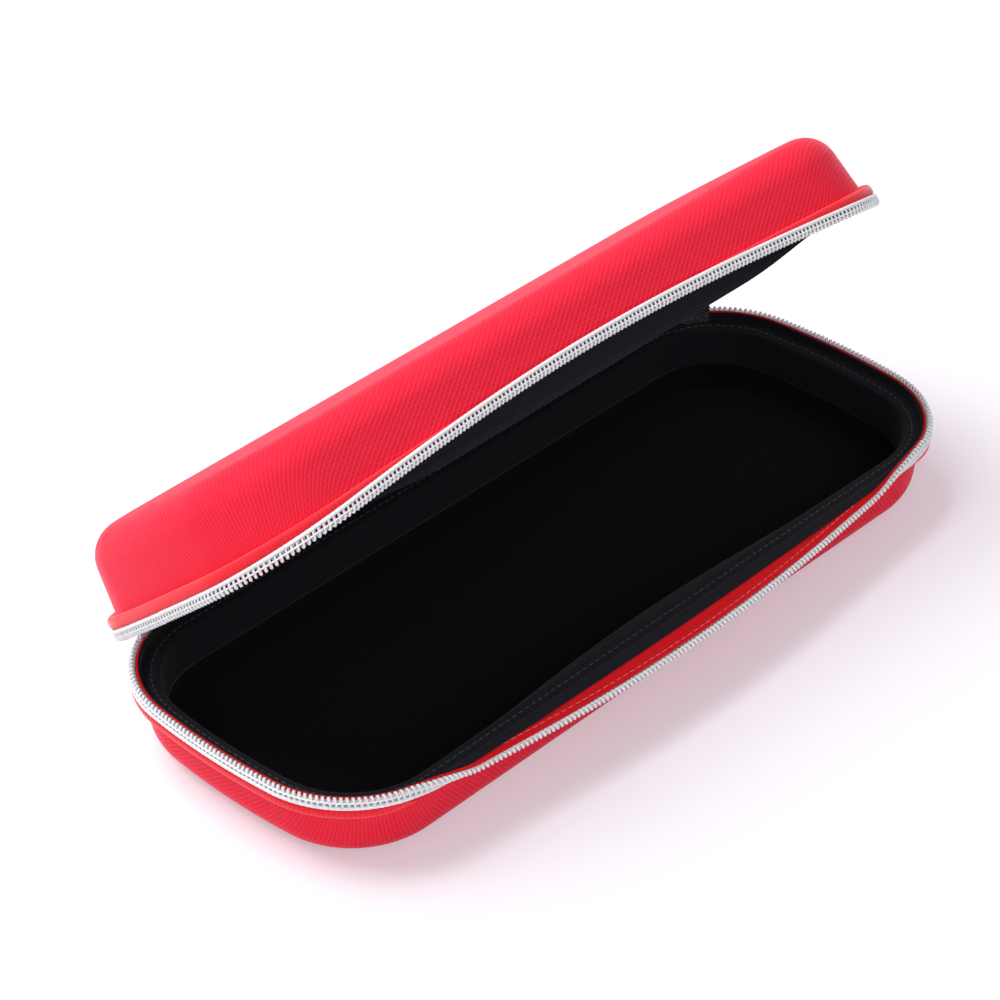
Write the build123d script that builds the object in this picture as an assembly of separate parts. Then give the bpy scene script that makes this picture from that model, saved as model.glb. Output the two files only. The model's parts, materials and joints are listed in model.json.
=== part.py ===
"""Hard case with a zip: a moulded base tray and a lid tray, joined by a fabric hinge along the back.

Both halves are built alike, with the closing plane at z = 0 and the tray hanging below it. The base is
then lifted on to its underside, and the lid is turned over and swung open about the hinge line.
Along the rim, an offset is counted outward from the outside of the cover, and a drop downward from the
closing plane. Millimetres, +Z up, +Y towards the hinge, origin at the centre of the base's underside.
"""

from build123d import *
from math import asin, cos, degrees, radians, sin, sqrt, tan
import os

# Overall form
body_length = 264.0  # over the cover, at the rim
body_width = 104.0
corner_radius = 32.0
end_radius = 240.0  # the short ends bow out on this radius
base_depth = 27.0  # closing plane to the underside
lid_depth = 30.0
draft_angle = 7.0
shoulder_radius = 10.5  # where the walls turn into the floor, outside
shoulder_flats = 5  # the turn is made of this many flats outside, and fewer on the hidden faces
hidden_flats = 3
lid_angle = 40.5  # how far the lid stands open

# Layers of each tray
cover_thickness = 0.8
shell_thickness = 3.2
lining_thickness = 0.8

# Zip
tooth_pitch = 1.55
coil_height = 3.2
coil_thickness = 2.0
coil_core = 0.8  # the unbroken part of the coil, behind the teeth
row_gap = 1.0  # between the two rows of teeth with the lid shut and the zip open
tooth_reach = 0.6  # how far the teeth stand past the tape's edge
tape_thickness = 0.6
tape_seam = 2.2  # width of tape sewn into the rim
stop_length = 3.0
stop_wall = 0.35
end_gap = 0.5  # free tape between a stop and what is beside it
left_end_angle = 27.0  # where the coil's ends lie on the back corners, turned from the hinge side
right_end_angle = 22.0

# Rim
flange_width = 3.0  # how far the flange stands out from the wall
flange_height = 3.1
flange_bevel = 1.1  # below, where the folded edge turns under
flange_edge = 0.4  # above
seat_offset = 0.6  # from the wall's face to the tape
binding_thickness = 0.8
binding_depth = 12.0
binding_bevel = 0.5  # where it turns over the rim into the case

# Hinge
hinge_gap = 1.0  # free fabric between the two sewn leaves
hinge_lining_thickness = 0.5
hinge_margin = 4.0  # straight back edge left at each end of the hinge

# Slider and its pull
slider_length = 10.0
slider_tail_width = 8.2
slider_plate = 1.1
slider_clearance = 0.2
slider_lip = 0.45
slider_round = 0.9
slider_angle = 34.5  # where the slider is parked on the right back corner
divider_length = 3.0
divider_width = 0.6
bridge_length = 6.4
bridge_height = 2.7
bridge_wire = 0.9
bridge_width = 1.6
pull_length = 23.0
pull_width = 5.6
pull_thickness = 0.9
pull_bar = 0.9
pull_eye_width = 2.6
pull_grip_length = 13.0
pull_grip_recess = 0.2
pull_grip_border = 1.1
pull_corner = 1.6
pull_clearance = 0.25
pull_angle = 45.0  # how far the pull is swung out from the zip

# Sizes that follow
half_width = body_width / 2
corner_y = half_width - corner_radius
end_centre = body_length / 2 - end_radius
corner_x = end_centre + sqrt((end_radius - corner_radius) ** 2 - corner_y**2)
end_angle = degrees(asin(corner_y / (end_radius - corner_radius)))
corner_sweep = 90 - end_angle
coil_top = row_gap / 2
coil_root = coil_top + coil_height
slider_half = coil_root + slider_clearance + slider_lip
rim_top = slider_half + slider_clearance
shell_top = rim_top + binding_thickness
tape_inner = seat_offset
tape_outer = tape_inner + tape_thickness
coil_outer = tape_outer + coil_thickness
tape_edge = coil_top + tooth_reach
tape_foot = rim_top + tape_seam
cover_inset = cover_thickness
shell_inset = cover_inset + shell_thickness
lining_inset = shell_inset + lining_thickness
binding_inset = lining_inset + binding_thickness
hinge_y = half_width + tape_inner + tape_thickness / 2
hinge_half = corner_x - hinge_margin
slider_turn = degrees(asin(slider_length / 2 / corner_radius))
stop_turn = degrees(stop_length / (corner_radius + tape_outer))
gap_turn = degrees(end_gap / (corner_radius + tape_outer))
lid_right_angle = slider_angle + slider_turn + 3 * gap_turn + stop_turn


def outline(offset, drop=0.0):
    """The plan of the case, moved outward by offset: straight long sides, bowed ends and tangent corners."""
    corner, end, side = corner_radius + offset, end_radius + offset, half_width + offset
    edges = [
        CenterArc((end_centre, 0), end, -end_angle, 2 * end_angle),
        CenterArc((corner_x, corner_y), corner, end_angle, corner_sweep),
        Line((corner_x, side), (-corner_x, side)),
        CenterArc((-corner_x, corner_y), corner, 90, corner_sweep),
        CenterArc((-end_centre, 0), end, 180 - end_angle, 2 * end_angle),
        CenterArc((-corner_x, -corner_y), corner, 180 + end_angle, corner_sweep),
        Line((-corner_x, -side), (corner_x, -side)),
        CenterArc((corner_x, -corner_y), corner, 270, corner_sweep),
    ]
    return Plane.XY.offset(-drop) * make_face(edges)


def ring(inner, outer, top, bottom):
    """A band round the rim between two offsets, from one drop down to another."""
    face = outline(outer, top) - outline(inner, top)
    return extrude(face, bottom - top, dir=(0, 0, -1))


def tray(inset, depth, flats=hidden_flats):
    """The solid inside the tray's wall at an inset: walls with draft, the shoulder's flats, then a floor."""
    radius = shoulder_radius - inset
    floor = depth - inset
    slope = tan(radians(draft_angle))
    centre = inset + (floor - radius - shell_top) * slope + radius / cos(radians(draft_angle))
    sections = [outline(-inset, shell_top)]
    for step in range(flats + 1):
        turn = radians(draft_angle + (90 - draft_angle) * step / flats)
        sections.append(outline(radius * cos(turn) - centre, floor - radius + radius * sin(turn)))
    return loft(sections, ruled=True)


def back_strip(half_length):
    """A block over the straight back edge, to part the hinge from the zip."""
    return Pos(0, body_width / 2) * Box(2 * half_length, corner_radius, 2 * base_depth)


def on_corner(angle, radius, side=1):
    """A point on a back corner, at an angle turned from the hinge side towards the end."""
    return Vector(side * (corner_x + radius * sin(radians(angle))), corner_y + radius * cos(radians(angle)))


def corner_sector(inner, outer, from_angle, to_angle, side=1):
    """A flat sector of a back corner between two radii."""
    middle = (from_angle + to_angle) / 2
    inner_arc = ThreePointArc(*[on_corner(a, inner, side) for a in (from_angle, middle, to_angle)])
    outer_arc = ThreePointArc(*[on_corner(a, outer, side) for a in (to_angle, middle, from_angle)])
    near_edge = Line(inner_arc @ 1, outer_arc @ 0)
    far_edge = Line(outer_arc @ 1, inner_arc @ 0)
    return make_face([inner_arc, near_edge, outer_arc, far_edge])


def teeth_line(right_end):
    """The foot of the teeth on the coil's core, from its left end round the front to its right end."""
    foot = tape_outer + coil_core
    corner, end, side = corner_radius + foot, end_radius + foot, half_width + foot
    return Wire([
        CenterArc((-corner_x, corner_y), corner, 90 + left_end_angle, corner_sweep - left_end_angle).edge(),
        CenterArc((-end_centre, 0), end, 180 - end_angle, 2 * end_angle).edge(),
        CenterArc((-corner_x, -corner_y), corner, 180 + end_angle, corner_sweep).edge(),
        Line((-corner_x, -side), (corner_x, -side)).edge(),
        CenterArc((corner_x, -corner_y), corner, 270, corner_sweep).edge(),
        CenterArc((end_centre, 0), end, -end_angle, 2 * end_angle).edge(),
        CenterArc((corner_x, corner_y), corner, end_angle, corner_sweep - right_end).edge(),
    ])


def zip_teeth(right_end):
    """The coil: an unbroken core on the tape, with one tooth for each turn standing out of it."""
    line = teeth_line(right_end)
    count = int(line.length / tooth_pitch)
    pitch = line.length / count

    def point(distance, out):
        here = line.position_at(distance, position_mode=PositionMode.LENGTH)
        along = line.tangent_at(distance, position_mode=PositionMode.LENGTH)
        return here + Vector(along.Y, -along.X) * out

    crest_out = coil_thickness - coil_core
    inside = -coil_core - tape_thickness
    points = [point(0, inside)]
    for tooth in range(count):
        points.append(point(tooth * pitch, 0))
        points.append(point((tooth + 0.5) * pitch, crest_out))
    points += [point(line.length, 0), point(line.length, inside)]
    rack = make_face(Polyline(*points, close=True)) - outline(tape_outer)
    return extrude(Plane.XY.offset(-coil_top) * rack, coil_height, dir=(0, 0, -1))


def zip_stops(right_end):
    """A crimped stop at each end of the coil, round the tape's edge."""
    stops = []
    inner = corner_radius + tape_inner - stop_wall
    outer = corner_radius + tape_outer + coil_thickness / 2
    for side, coil_end in ((-1, left_end_angle), (1, right_end)):
        near_end = coil_end - gap_turn
        clip = corner_sector(inner, outer, near_end - stop_turn, near_end, side)
        clip = extrude(Plane.XY.offset(-coil_top) * clip, coil_height, dir=(0, 0, -1))
        stops.append(clip - ring(tape_inner, tape_outer, tape_edge, tape_foot))
    return Part() + stops


def slider_room():
    """What the parked slider takes out of the lid's free tape, so that the lid shuts past it."""
    inner = corner_radius + tape_inner - slider_clearance
    outer = corner_radius + tape_outer + slider_clearance
    reach = slider_turn + gap_turn
    sector = corner_sector(inner, outer, slider_angle - reach, slider_angle + reach)
    return extrude(sector, rim_top, dir=(0, 0, -1))


def half_pieces(depth, right_end):
    """All that one half of the case holds, by name, with the closing plane at z = 0."""
    outside = tray(0, depth, shoulder_flats)
    shell, cavity, inside, mouth = [
        tray(inset, depth) for inset in (cover_inset, shell_inset, lining_inset, binding_inset)
    ]
    strip = back_strip(hinge_half)

    band = ring(tape_inner, tape_outer, tape_edge, tape_foot)
    hinge_band = ring(tape_inner, tape_outer, hinge_gap / 2, tape_foot)
    hinge_facing = ring(tape_inner - hinge_lining_thickness, tape_inner, hinge_gap / 2, rim_top)

    flange = extrude(outline(flange_width, rim_top), flange_height, dir=(0, 0, -1))
    flange = chamfer(flange.edges().group_by(Axis.Z)[0], flange_bevel)
    flange = chamfer(flange.edges().group_by(Axis.Z)[-1], flange_edge)
    rim_step = extrude(outline(tape_inner, rim_top), binding_thickness, dir=(0, 0, -1))
    flange = flange - rim_step - outside - ring(tape_inner, tape_outer, rim_top, tape_foot)

    inner_leg = split(inside, Plane.XY.offset(-rim_top - binding_depth), keep=Keep.TOP)
    opening = extrude(outline(-binding_inset, rim_top), binding_thickness, dir=(0, 0, -1))
    binding = rim_step + inner_leg - opening - mouth
    rim_edges = binding.edges().group_by(Axis.Z)[-1]
    inner_edges = rim_edges.filter_by(lambda edge: edge_inset(edge) > binding_inset / 2)
    binding = chamfer(inner_edges, binding_bevel)

    return {
        "cover": outside - shell,
        "shell": shell - cavity,
        "lining": cavity - inside,
        "rim_flange": flange,
        "rim_binding": binding,
        "zip_tape": band - strip,
        "zip_teeth": zip_teeth(right_end),
        "zip_stops": zip_stops(right_end),
        "hinge_leaf": hinge_band & strip,
        "hinge_facing": hinge_facing & strip,
    }


def edge_inset(edge):
    """How far inside the case's straight sides and ends an edge's middle lies."""
    middle = edge @ 0.5
    return min(half_width - abs(middle.Y), body_length / 2 - abs(middle.X))


def slider_plane():
    """The slider's own plane: x along the zip towards the front, y out of the case, z up."""
    forward = Vector(cos(radians(slider_angle)), -sin(radians(slider_angle)))
    return Plane(on_corner(slider_angle, corner_radius), x_dir=forward, z_dir=(0, 0, 1))


def zip_slider():
    """Two plates joined by a divider at the nose, with a lip over each row and a bridge for the pull."""
    inner, outer = tape_inner - slider_clearance, coil_outer + slider_clearance
    low, high = inner - slider_plate, outer + slider_plate
    nose, tail = slider_length / 2, -slider_length / 2
    profile = Polyline(
        (tail, -slider_tail_width / 2), (0, -slider_half), (nose, -slider_half),
        (nose, slider_half), (0, slider_half), (tail, slider_tail_width / 2), close=True,
    )
    facing = Plane((0, low, 0), x_dir=(1, 0, 0), z_dir=(0, 1, 0))
    block = extrude(facing * make_face(profile), high - low)
    block = fillet(block.edges().group_by(Axis.Y)[-1], slider_round)
    block = slider_plane() * block

    sweep = (slider_angle - 2 * slider_turn, slider_angle + 2 * slider_turn)
    coil_space = corner_sector(corner_radius + inner, corner_radius + outer, *sweep)
    lips = corner_radius + tape_outer + slider_clearance
    tape_space = corner_sector(corner_radius + inner, lips, *sweep)
    coil_half = coil_root + slider_clearance
    channel = extrude(coil_space, coil_half, both=True) + extrude(tape_space, 2 * slider_half, both=True)
    divider = Box(divider_length, high - low, divider_width)
    divider = Pos(nose - divider_length / 2, (low + high) / 2) * divider
    slider = block - (channel - slider_plane() * divider)

    arch = Ellipse(bridge_length / 2, bridge_height)
    arch -= Ellipse(bridge_length / 2 - bridge_wire, bridge_height - bridge_wire)
    arch = Pos(0, high) * arch & Pos(0, high + bridge_height / 2) * Rectangle(bridge_length, bridge_height)
    bridge = extrude(arch, bridge_width / 2, both=True)
    return slider + slider_plane() * bridge


def zip_pull():
    """A flat tab with a sunk grip, whose bar turns under the slider's bridge."""
    eye_start, eye_end = pull_bar / 2, bridge_length / 2 + pull_clearance + pull_bar
    facing = Plane((0, 0, 0), x_dir=(1, 0, 0), z_dir=(0, 1, 0))
    tab = Pos(pull_length / 2, 0) * RectangleRounded(pull_length, pull_width, pull_corner)
    tab -= Pos((eye_start + eye_end) / 2, 0) * Rectangle(eye_end - eye_start, pull_eye_width)
    tab = extrude(facing * tab, pull_thickness / 2, both=True)
    grip_middle = pull_length - pull_grip_border - pull_grip_length / 2
    grip_width = pull_width - 2 * pull_grip_border
    grip = Pos(grip_middle, 0) * RectangleRounded(pull_grip_length, grip_width, pull_corner / 2)
    tab -= extrude(facing.offset(pull_thickness / 2) * grip, -pull_grip_recess)
    pull = tab + Cylinder(pull_bar / 2, pull_width)
    pivot = coil_outer + slider_clearance + slider_plate + pull_clearance + pull_bar / 2
    return slider_plane() * Pos(0, pivot) * Rot(0, 0, pull_angle) * pull


def lifted(piece):
    """A piece of the lower half, set on the floor."""
    return Pos(0, 0, base_depth) * piece


def swung(piece):
    """A piece of the lower half, turned over on to the closing plane and swung open with the lid."""
    hinge_line = Axis((0, hinge_y, 0), (1, 0, 0))
    return lifted(mirror(piece, about=Plane.XY).rotate(hinge_line, -lid_angle))


def save(name, piece):
    piece.label = name
    export_step(piece, f"parts/{name}.step")


os.makedirs("parts", exist_ok=True)
for name, piece in half_pieces(base_depth, right_end_angle).items():
    save(f"base_{name}", lifted(piece))

lid = half_pieces(lid_depth, lid_right_angle)
lid["zip_tape"] -= slider_room()
for name, piece in lid.items():
    save(f"lid_{name}", swung(piece))

save("zip_slider", lifted(zip_slider()))
save("zip_pull", lifted(zip_pull()))
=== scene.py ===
import json
from math import asin, cos, pi, radians, sin, sqrt, tan

import bmesh
import bpy
import numpy as np
from bpy.props import FloatProperty, FloatVectorProperty, PointerProperty
from mathutils import Matrix, Vector


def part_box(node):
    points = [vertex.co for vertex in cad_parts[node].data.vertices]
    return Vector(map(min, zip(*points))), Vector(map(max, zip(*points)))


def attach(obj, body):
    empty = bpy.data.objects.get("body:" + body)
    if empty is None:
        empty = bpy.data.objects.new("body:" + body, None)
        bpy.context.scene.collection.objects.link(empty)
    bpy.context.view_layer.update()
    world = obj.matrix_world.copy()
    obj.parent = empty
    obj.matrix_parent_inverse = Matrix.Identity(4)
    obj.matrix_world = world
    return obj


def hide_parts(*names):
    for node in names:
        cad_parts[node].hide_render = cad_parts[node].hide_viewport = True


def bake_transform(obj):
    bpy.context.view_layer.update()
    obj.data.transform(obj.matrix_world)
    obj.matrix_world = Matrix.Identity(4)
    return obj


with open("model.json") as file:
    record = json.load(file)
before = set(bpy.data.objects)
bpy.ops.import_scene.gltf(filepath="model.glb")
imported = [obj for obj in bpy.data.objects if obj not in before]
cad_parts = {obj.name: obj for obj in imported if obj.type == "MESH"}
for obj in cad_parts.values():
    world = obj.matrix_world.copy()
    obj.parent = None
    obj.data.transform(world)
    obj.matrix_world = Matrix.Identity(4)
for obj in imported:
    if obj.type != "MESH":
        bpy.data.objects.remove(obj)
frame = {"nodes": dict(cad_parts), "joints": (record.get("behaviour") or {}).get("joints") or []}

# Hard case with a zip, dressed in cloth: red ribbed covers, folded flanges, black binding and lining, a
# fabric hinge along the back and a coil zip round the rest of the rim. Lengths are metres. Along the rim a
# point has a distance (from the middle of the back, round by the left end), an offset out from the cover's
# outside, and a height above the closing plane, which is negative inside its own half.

bl_info = {
    "name": "Zip hard case",
    "version": (1, 0, 0),
    "blender": (4, 5, 0),
    "location": "3D View > Sidebar > Case",
    "description": "Dresses a moulded zip case in ribbed cloth, lining, binding and a coil zip",
    "category": "Object",
}

MM = 0.001
HALVES = ("base", "lid")

joints = {joint["name"]: joint for joint in frame["joints"]}
hinge_line = joints["lid_hinge"]["pos_m"]
opened = -radians(joints["lid_hinge"]["range_deg"][0])
cover_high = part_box("base_cover")[1]
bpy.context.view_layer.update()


def linear(code):
    """An sRGB hex colour as a linear RGBA tuple."""
    parts = [int(code[i:i + 2], 16) / 255 for i in (1, 3, 5)]
    return tuple(p / 12.92 if p <= 0.04045 else ((p + 0.055) / 1.055) ** 2.4 for p in parts) + (1.0,)


def length(name, description, millimetres):
    """A length, given in millimetres and kept in metres."""
    return FloatProperty(
        name=name, description=description, default=millimetres * MM, unit="LENGTH", precision=5
    )


def angle(name, description, degrees):
    """An angle, given in degrees and kept in radians."""
    return FloatProperty(name=name, description=description, default=radians(degrees), unit="ROTATION")


def colour(name, description, code):
    """A colour, given as sRGB hex and kept as linear RGBA."""
    return FloatVectorProperty(
        name=name, description=description, default=linear(code), size=4, min=0, max=1, subtype="COLOR"
    )


class CaseSizes(bpy.types.PropertyGroup):
    """The sizes of the case's halves, seen in cross-section."""

    corner_radius: length("Corner radius", "Plan radius of the corners, outside the cover", 32)
    end_radius: length("End radius", "Radius on which the short ends bow out", 240)
    draft: angle("Draft", "Lean of the walls", 7)
    shoulder_radius: length("Shoulder radius", "Turn from wall to floor, outside", 10.5)
    lid_depth: length("Lid depth", "Closing plane to the lid's top", 30)
    lid_crown: length("Lid crown", "How far the lid's top swells in its middle", 0.8)
    wall_top: length("Wall top", "Closing plane down to the top of the moulded wall", 5.35)
    rim_top: length("Rim top", "Closing plane down to the rim's binding and flange", 4.55)
    cover_thickness: length("Cover thickness", "Thickness of the red cloth", 0.8)
    lining_inset: length("Lining inset", "Cover's outside to the lining's back", 4.0)
    lining_thickness: length("Lining thickness", "Thickness of the black lining", 0.8)
    flange_width: length("Flange width", "How far the folded flange stands out", 3.0)
    flange_height: length("Flange height", "Thickness of the folded flange", 3.75)
    flange_foot: length("Flange foot", "Closing plane down to the flange's far edge", 7.65)
    binding_depth: length("Binding depth", "Length of the binding's leg inside the wall", 12)
    tape_offset: length("Tape offset", "Cover's outside to the middle of the zip tape", 0.9)
    tape_thickness: length("Tape thickness", "Thickness of the zip tape", 0.6)
    tape_seam: length("Tape seam", "Width of tape sewn into the rim", 2.2)
    hinge_half: length("Hinge half length", "Middle of the back to the hinge's end", 95.04)


class ZipSizes(bpy.types.PropertyGroup):
    """The sizes of the zip and of the seams beside it."""

    pitch: length("Pitch", "Distance from one turn of the coil to the next", 1.55)
    coil_height: length("Coil height", "Root to tip of the coil's turns", 3.6)
    coil_thickness: length("Coil thickness", "How far the coil stands off its tape", 2.1)
    wire: length("Wire", "Thickness of the coil's filament", 0.8)
    left_end: angle("Left end", "Where the coil starts on the left back corner", 27)
    base_right_end: angle("Right end on the base", "Where the base's coil ends on the right back corner", 22)
    lid_right_end: angle("Right end on the lid", "Where the lid's coil ends on the right back corner", 51.3)
    rolled_reach: length("Rolled reach", "Extra width of the base's tape where it is rolled outward", 7.6)
    rolled_from: length("Rolled from", "Where along the front the base's tape starts to roll outward", -104)
    rolled_to: length("Rolled to", "Where along the front the base's tape stands up again", 100)
    rolled_turn: angle("Rolled turn", "How far the base's tape is rolled outward along the front", 97)
    lean: angle("Lean", "How far the base's tape leans inward elsewhere", 6)
    drawn_up: length("Drawn up", "How far the lid's zip is drawn up its wall in the middle of the front", 8.2)
    drawn_from: length("Drawn from", "Where along the front the lid's zip starts to rise", -135)
    drawn_to: length("Drawn to", "Where along the front the lid's zip comes down again", 125)
    run_start: angle("Run start", "Where the slider's run starts on the right back corner", 24)
    run_end: angle("Run end", "Where the slider's run ends on the right back corner", 86)
    rib_pitch: length("Rib pitch", "Distance between the cover cloth's ribs", 1.32)
    base_cloth_turn: angle("Base cloth turn", "Angle between the base's cloth ribs and its length", 52)
    lid_cloth_turn: angle("Lid cloth turn", "Angle between the lid's cloth ribs and its length", 35)
    stitch_pitch: length("Stitch pitch", "Distance from one stitch to the next", 2.6)


class CaseColours(bpy.types.PropertyGroup):
    """The colours of the cloths, threads and metal."""

    # The two cover reds together give the cloth's red: the first is painted darker between the ribs as
    # painted shade, the second lighter on the rib tops as painted highlight.
    cover: colour("Cover", "Red cover cloth between its ribs", "#CD192E")
    cover_rib_highlight: colour("Cover rib", "Red cover cloth on its ribs", "#ED2940")
    flange: colour("Flange", "Folded edge of the cover cloth", "#EE2A38")
    tape: colour("Tape", "Zip tape", "#D4101A")
    lining: colour("Lining", "Black lining", "#060609")
    binding: colour("Binding", "Black binding", "#17161C")
    foam: colour("Foam", "EVA foam sheet", "#26262A")
    coil: colour("Coil", "Filament of the zip", "#E9E9EC")
    dark_thread: colour("Dark thread", "Stitching on the binding", "#34343C")
    red_thread: colour("Red thread", "Stitching on the zip tape", "#F0707A")
    metal: colour("Metal", "Plated metal of the slider and stops", "#C9CACC")
    floor: colour("Floor", "Floor under the case", "#FBFAFC")


def sizes():
    return bpy.context.scene.case_sizes


def zip_sizes():
    return bpy.context.scene.zip_sizes


def colours():
    return bpy.context.scene.case_colours


# ---------------------------------------------------------------- the rim's line


def rim_parts():
    """The nine straights and arcs of the outline, as columns: length, heading, radius, centre x and y."""
    s = sizes()
    half_length, half_width = cover_high.x, cover_high.y
    corner_y = half_width - s.corner_radius
    end_centre = half_length - s.end_radius
    gap = s.end_radius - s.corner_radius
    corner_x = end_centre + sqrt(gap**2 - corner_y**2)
    bow = asin(corner_y / gap)
    turn = pi / 2 - bow
    corner, end = s.corner_radius, s.end_radius
    return np.array([
        (corner_x, pi / 2, 0, 0, half_width),
        (corner * turn, pi / 2, corner, -corner_x, corner_y),
        (end * 2 * bow, pi - bow, end, -end_centre, 0),
        (corner * turn, pi + bow, corner, -corner_x, -corner_y),
        (2 * corner_x, 1.5 * pi, 0, -corner_x, -half_width),
        (corner * turn, 1.5 * pi, corner, corner_x, -corner_y),
        (end * 2 * bow, 2 * pi - bow, end, end_centre, 0),
        (corner * turn, 2 * pi + bow, corner, corner_x, corner_y),
        (corner_x, 2.5 * pi, 0, corner_x, half_width),
    ])


def rim_length():
    return float(rim_parts()[:, 0].sum())


def round_rim(count):
    """Evenly spaced distances once round the rim."""
    return np.linspace(0, rim_length(), count, endpoint=False)


def rim_at(distance):
    """Point, outward normal and forward tangent in plan, for an array of distances along the outline.

    On an arc the heading grows with distance over radius, and the point is the centre plus radius times the
    normal; on a straight the point moves along the tangent.
    """
    parts = rim_parts()
    stations = np.concatenate([[0], np.cumsum(parts[:, 0])])
    distance = np.mod(distance, stations[-1])
    part = np.clip(np.searchsorted(stations, distance, side="right") - 1, 0, len(parts) - 1)
    local = distance - stations[part]
    heading, radius = parts[part, 1], parts[part, 2]
    curved = radius > 0
    heading = heading + np.where(curved, local / np.where(curved, radius, 1), 0)
    normal = np.stack([np.cos(heading), np.sin(heading)], -1)
    tangent = np.stack([-np.sin(heading), np.cos(heading)], -1)
    along = np.where(curved, 0, local)
    point = parts[part, 3:5] + radius[..., None] * normal + along[..., None] * tangent
    return point, normal, tangent


def corner_distance(side, turned):
    """Distance along the outline of a place on a back corner, turned from the hinge side towards the end."""
    parts = rim_parts()
    from_back = parts[0, 0] + sizes().corner_radius * turned
    return from_back if side < 0 else rim_length() - from_back


def place(half, x, y, height):
    """Points of one half, from plan and height above its closing plane, to where that half lies.

    The base is lifted on to its floor. The lid is turned over and swung open about the hinge line.
    """
    if half == "base":
        return np.stack([x, y, hinge_line[2] + height], -1)
    back = y - hinge_line[1]
    return np.stack([
        x,
        hinge_line[1] + back * cos(opened) - height * sin(opened),
        hinge_line[2] - back * sin(opened) - height * cos(opened),
    ], -1)


def on_rim(half, distance, out, height):
    """Points offset out from the outline and raised from the closing plane."""
    point, normal, _ = rim_at(distance)
    plan = point + normal * out[..., None]
    return place(half, plan[..., 0], plan[..., 1], height)


def smooth(start, end, value):
    """0 before start, 1 after end and a smooth step between."""
    share = np.clip((value - start) / (end - start), 0, 1)
    return share * share * (3 - 2 * share)


def half_sine(distance, start, end):
    """A half sine of x along the front: 1 in its middle and 0 at its ends, where it is softened."""
    point, _, _ = rim_at(distance)
    share = np.clip((point[..., 0] - start) / (end - start), 0, 1)
    wave = np.where(point[..., 1] < 0, np.sin(pi * share), 0)
    soften = 0.08
    return wave**2 / (wave + soften) * (1 + soften)


def front_arch(distance):
    """The arch in which the base's free tape bows out along the front: 0 at its ends, 1 in its middle."""
    return half_sine(distance, zip_sizes().rolled_from, zip_sizes().rolled_to)


def zip_rise(half, distance):
    """How far a half's zip is drawn up its wall: the lid's in an arch along the front, the base's nowhere."""
    z = zip_sizes()
    return z.drawn_up * half_sine(distance, z.drawn_from, z.drawn_to) * (half == "lid")


def slider_run(distance):
    """1 along the stretch that the slider passes, round the right back corner, and 0 elsewhere."""
    z = zip_sizes()
    far, near = corner_distance(1, z.run_end), corner_distance(1, z.run_start)
    ease = 5 * MM
    return smooth(far - ease, far, distance) * (1 - smooth(near, near + ease, distance))


def along_front(distance, rise, fall):
    """1 along the middle of the front side and 0 elsewhere, easing over two stretches of x."""
    point, _, _ = rim_at(distance)
    front = point[..., 1] < 0
    share = smooth(rise[0], rise[1], point[..., 0]) * (1 - smooth(fall[0], fall[1], point[..., 0]))
    return np.where(front, share, 0)


# ---------------------------------------------------------------- meshes


def grid_faces(rows, columns, wrap_rows, wrap_columns):
    """Four corners of each face of a grid, and the same corners counted without wrapping, for the UV map."""
    row = np.arange(rows if wrap_rows else rows - 1)
    column = np.arange(columns if wrap_columns else columns - 1)
    row, column = (values.ravel() for values in np.meshgrid(row, column, indexing="ij"))
    corners = [(row, column), (row + 1, column), (row + 1, column + 1), (row, column + 1)]
    faces = np.stack([(r % rows) * columns + c % columns for r, c in corners], -1)
    wide = columns + (1 if wrap_columns else 0)
    unwrapped = np.stack([r * wide + c for r, c in corners], -1)
    return faces, unwrapped


def make_mesh(name, points, faces, uv=None):
    """A smooth mesh object from points and four-cornered faces, with a UV for each corner of a face."""
    mesh = bpy.data.meshes.new(name)
    mesh.vertices.add(len(points))
    mesh.vertices.foreach_set("co", points.astype(np.float32).ravel())
    mesh.loops.add(faces.size)
    mesh.loops.foreach_set("vertex_index", faces.astype(np.int32).ravel())
    mesh.polygons.add(len(faces))
    mesh.polygons.foreach_set("loop_start", np.arange(0, faces.size, 4, dtype=np.int32))
    mesh.polygons.foreach_set("loop_total", np.full(len(faces), 4, dtype=np.int32))
    if uv is not None:
        mesh.uv_layers.new(name="cloth").data.foreach_set("uv", uv.astype(np.float32).ravel())
    mesh.polygons.foreach_set("use_smooth", np.full(len(faces), True))
    mesh.update(calc_edges=True)
    mesh.validate()
    piece = bpy.data.objects.new(name, mesh)
    bpy.context.scene.collection.objects.link(piece)
    return piece


def close_up(piece, merge=0.0):
    """Merges doubles, fills open ends and turns every face outward."""
    work = bmesh.new()
    work.from_mesh(piece.data)
    if merge:
        bmesh.ops.remove_doubles(work, verts=work.verts, dist=merge)
    open_edges = [edge for edge in work.edges if edge.is_boundary]
    if open_edges:
        bmesh.ops.holes_fill(work, edges=open_edges)
    bmesh.ops.recalc_face_normals(work, faces=work.faces)
    work.to_mesh(piece.data)
    work.free()
    piece.data.update()
    return piece


def swept(name, half, distance, out, height, closed):
    """A closed profile carried along the rim: out and height have a row for each distance.

    The UV map holds the distance along the rim and the length round the profile. Closed joins the last
    distance to the first.
    """
    points = on_rim(half, distance[:, None], out, height)
    faces, unwrapped = grid_faces(*out.shape, closed, True)
    across_step = np.diff(out, axis=1, append=out[:, :1])
    step = np.hypot(across_step, np.diff(height, axis=1, append=height[:, :1]))
    around = np.concatenate([np.zeros((len(out), 1)), np.cumsum(step, 1)], 1)
    if closed:
        distance = np.append(distance, rim_length())
        around = np.concatenate([around, around[:1]])
    uv = np.stack([np.broadcast_to(distance[:, None], around.shape), around], -1).reshape(-1, 2)
    return close_up(make_mesh(name, points.reshape(-1, 3), faces, uv[unwrapped.ravel()]))


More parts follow.
